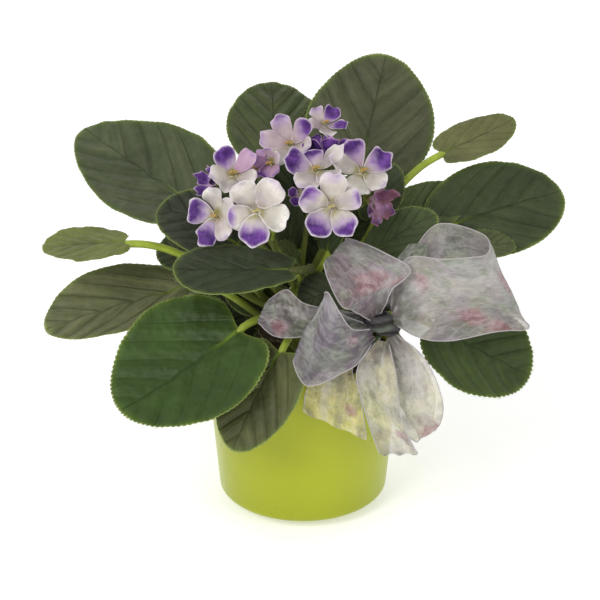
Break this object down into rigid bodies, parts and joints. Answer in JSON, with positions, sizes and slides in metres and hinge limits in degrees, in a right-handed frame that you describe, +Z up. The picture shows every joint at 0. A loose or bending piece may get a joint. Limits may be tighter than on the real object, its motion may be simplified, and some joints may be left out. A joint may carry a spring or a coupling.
{
  "type": "potted african violet",
  "caption": "Rosette of round toothed leaves with two-coloured blooms in a tapered pot, with a sheer ribbon bow on a wire pick.",
  "frame": {"origin": "centre of the pot's flat base, on the surface it stands on", "axes": "+Z up along the pot's centre line, -Y towards the side with the bow"},
  "size_m": [0.2977, 0.2195, 0.2271],
  "materials": {
    "pot": "satin",
    "soil": "matte",
    "crown": "matte",
    "leaf": "matte",
    "stalk": "satin",
    "bloom": "matte",
    "bloom_purple": "matte",
    "anthers": "satin",
    "ribbon": "satin",
    "pick": "satin"
  },
  "bodies": {
    "root": {"anthers_front_left": "anthers", "anthers_front_right": "anthers", "anthers_left_high": "anthers", "anthers_left_low": "anthers", "anthers_middle": "anthers", "anthers_pink_left": "anthers", "anthers_right": "anthers", "anthers_top_left": "anthers", "anthers_top_right": "anthers", "bloom_front_left": "bloom", "bloom_front_right": "bloom", "bloom_left_high": "bloom", "bloom_left_low": "bloom", "bloom_middle": "bloom", "bloom_pink_left": "bloom", "bloom_purple_behind": "bloom_purple", "bloom_purple_side": "bloom_purple", "bloom_right": "bloom", "bloom_top_left": "bloom", "bloom_top_right": "bloom", "bloom_wilted": "bloom", "bow_knot": "ribbon", "bow_pick": "pick", "crown": "crown", "leaf_behind_blooms": "leaf", "leaf_behind_bow": "leaf", "leaf_centre_left": "leaf", "leaf_centre_right": "leaf", "leaf_front": "leaf", "leaf_left": "leaf", "leaf_lower_left": "leaf", "leaf_lower_right": "leaf", "leaf_narrow_right": "leaf", "leaf_rear_left": "leaf", "leaf_rear_right": "leaf", "leaf_right": "leaf", "leaf_right_inner": "leaf", "leaf_shaded_left": "leaf", "leaf_small_left": "leaf", "leaf_small_right": "leaf", "leaf_upper_left": "leaf", "leaf_upper_middle": "leaf", "leaf_upper_right": "leaf", "leaf_young_front": "leaf", "leaf_young_left": "leaf", "leaf_young_right": "leaf", "pot": "pot", "ribbon_end_left": "ribbon", "ribbon_loop_left": "ribbon", "ribbon_loop_lower": "ribbon", "ribbon_loop_right": "ribbon", "ribbon_loop_upper": "ribbon", "ribbon_tail_left": "ribbon", "ribbon_tail_middle": "ribbon", "soil": "soil", "stalk_front_left": "stalk", "stalk_left": "stalk", "stalk_middle": "stalk", "stalk_right": "stalk"}
  },
  "joints": []
}
